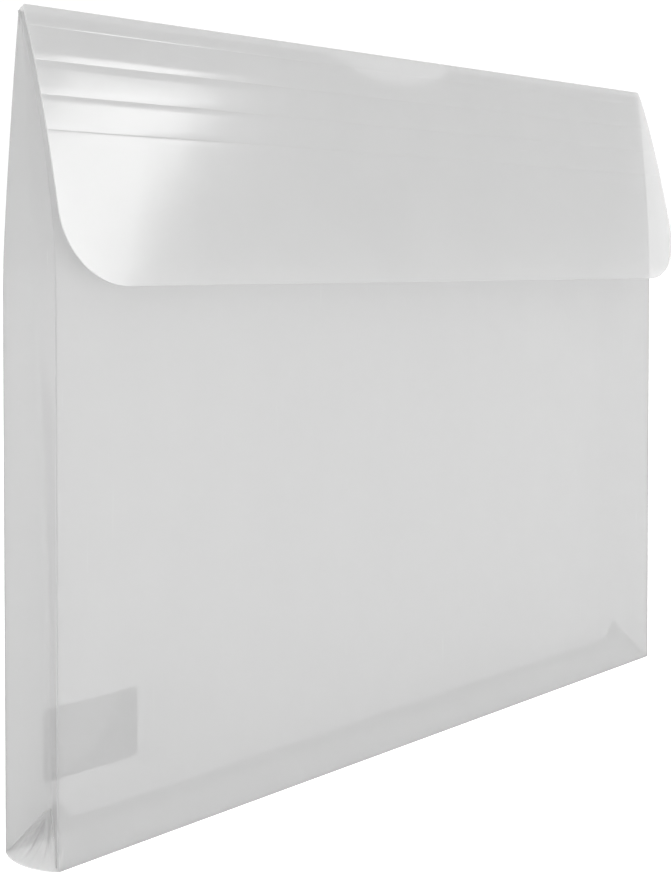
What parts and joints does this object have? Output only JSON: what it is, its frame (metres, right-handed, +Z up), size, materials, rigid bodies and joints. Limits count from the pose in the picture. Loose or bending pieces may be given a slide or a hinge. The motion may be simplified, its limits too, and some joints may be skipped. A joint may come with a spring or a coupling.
{
  "type": "portfolio case",
  "caption": "Clear plastic portfolio case with V-folded side and bottom gussets, a scored front flap with rounded corners, a hook-and-loop closure, a thumb notch and a blank label.",
  "frame": {"origin": "on the surface the case stands on, under the middle of its whole width and depth, flap and label included", "axes": "+X to the right across the front, +Y from the front with the flap towards the back sheet, +Z up to the flap's fold"},
  "size_m": [0.333, 0.0388, 0.2478],
  "materials": {
    "clear_sheet": "clear, faintly milky polypropylene sheet with a soft gloss",
    "hook_tape": "clear nylon hook tape, fine rows of hooks",
    "loop_pile": "white translucent nylon loop pile",
    "adhesive": "clear pressure-sensitive adhesive film",
    "label_paper": "blank satin sticker"
  },
  "bodies": {
    "back_panel": {"back_panel": "clear_sheet", "label": "label_paper"},
    "back_panel_top": {"back_panel_top": "clear_sheet"},
    "gusset_left_rear": {"gusset_left_rear": "clear_sheet"},
    "gusset_left_front": {"gusset_left_front": "clear_sheet"},
    "gusset_right_rear": {"gusset_right_rear": "clear_sheet"},
    "gusset_right_front": {"gusset_right_front": "clear_sheet"},
    "bottom_rear": {"bottom_rear": "clear_sheet"},
    "bottom_front": {"bottom_front": "clear_sheet"},
    "front_panel": {"front_panel": "clear_sheet"},
    "front_panel_flex": {"front_panel_flex": "clear_sheet"},
    "front_panel_top": {"front_panel_top": "clear_sheet", "loop_adhesive": "adhesive", "loop_patch": "loop_pile"},
    "flap_strip_1": {"flap_strip_1": "clear_sheet"},
    "flap_strip_2": {"flap_strip_2": "clear_sheet"},
    "flap_strip_3": {"flap_strip_3": "clear_sheet"},
    "flap_strip_4": {"flap_strip_4": "clear_sheet"},
    "flap_panel": {"flap_panel": "clear_sheet", "hook_adhesive": "adhesive", "hook_patch": "hook_tape"}
  },
  "joints": [
    {"name": "fold_flat", "type": "hinge", "parent": "back_panel", "child": "gusset_left_rear", "pos_m": [-0.1662, 0.01759, 0.12], "axis": [0, 0, 1], "range_deg": [0, 44]},
    {"name": "left_crease", "type": "hinge", "parent": "gusset_left_rear", "child": "gusset_left_front", "pos_m": [-0.15807, 0.0072, 0.12], "axis": [0, 0, -1], "range_deg": [0, 102]},
    {"name": "left_front_fold", "type": "hinge", "parent": "gusset_left_front", "child": "front_panel", "pos_m": [-0.1662, -0.0032, 0.12], "axis": [0, 0, 1], "range_deg": [0, 51]},
    {"name": "right_back_fold", "type": "hinge", "parent": "back_panel", "child": "gusset_right_rear", "pos_m": [0.1662, 0.01759, 0.12], "axis": [0, 0, -1], "range_deg": [0, 44]},
    {"name": "right_crease", "type": "hinge", "parent": "gusset_right_rear", "child": "gusset_right_front", "pos_m": [0.15807, 0.0072, 0.12], "axis": [0, 0, 1], "range_deg": [0, 88]},
    {"name": "bottom_back_fold", "type": "hinge", "parent": "back_panel", "child": "bottom_rear", "pos_m": [0, 0.01759, 0.0004], "axis": [-1, 0, 0], "range_deg": [0, 44]},
    {"name": "bottom_crease", "type": "hinge", "parent": "bottom_rear", "child": "bottom_front", "pos_m": [0, 0.0072, 0.00853], "axis": [1, 0, 0], "range_deg": [0, 88]},
    {"name": "back_lean", "type": "hinge", "parent": "back_panel", "child": "back_panel_top", "pos_m": [0, 0.01869, 0.166], "axis": [-1, 0, 0], "range_deg": [0, 8.2]},
    {"name": "front_lean", "type": "hinge", "parent": "front_panel", "child": "front_panel_flex", "pos_m": [0, -0.0043, 0.162], "axis": [1, 0, 0], "range_deg": [0, 4.1]},
    {"name": "mouth", "type": "hinge", "parent": "front_panel_flex", "child": "front_panel_top", "pos_m": [0, -0.0043, 0.17], "axis": [1, 0, 0], "range_deg": [0, 10.5]},
    {"name": "flap_fold", "type": "hinge", "parent": "back_panel_top", "child": "flap_strip_1", "pos_m": [0, 0.00605, 0.248], "axis": [-0.9996, 0.0267, 0], "range_deg": [0, 200]},
    {"name": "score_1", "type": "hinge", "parent": "flap_strip_1", "child": "flap_strip_2", "pos_m": [-0.00008, 0.0032, 0.2416], "axis": [-0.9996, 0.0267, 0], "range_deg": [0, 15]},
    {"name": "score_2", "type": "hinge", "parent": "flap_strip_2", "child": "flap_strip_3", "pos_m": [-0.00016, 0.00004, 0.23159], "axis": [-0.9996, 0.0267, 0], "range_deg": [0, 15]},
    {"name": "score_3", "type": "hinge", "parent": "flap_strip_3", "child": "flap_strip_4", "pos_m": [-0.00024, -0.00285, 0.2215], "axis": [-0.9996, 0.0267, 0], "range_deg": [0, 15]},
    {"name": "score_4", "type": "hinge", "parent": "flap_strip_4", "child": "flap_panel", "pos_m": [-0.00031, -0.00557, 0.21136], "axis": [-0.9996, 0.0267, 0], "range_deg": [0, 15]}
  ],
  "couplings": [
    {"joint": "left_crease", "follows": "fold_flat", "ratio": 2},
    {"joint": "left_front_fold", "follows": "fold_flat", "ratio": 1},
    {"joint": "right_back_fold", "follows": "fold_flat", "ratio": 1},
    {"joint": "right_crease", "follows": "fold_flat", "ratio": 2},
    {"joint": "bottom_back_fold", "follows": "fold_flat", "ratio": 1},
    {"joint": "bottom_crease", "follows": "fold_flat", "ratio": 2},
    {"joint": "back_lean", "follows": "fold_flat", "ratio": 0.18636},
    {"joint": "front_lean", "follows": "fold_flat", "ratio": 0.093182},
    {"joint": "mouth", "follows": "flap_fold", "ratio": 0.0525},
    {"joint": "score_2", "follows": "score_1", "ratio": 1},
    {"joint": "score_3", "follows": "score_1", "ratio": 1},
    {"joint": "score_4", "follows": "score_1", "ratio": 1}
  ]
}
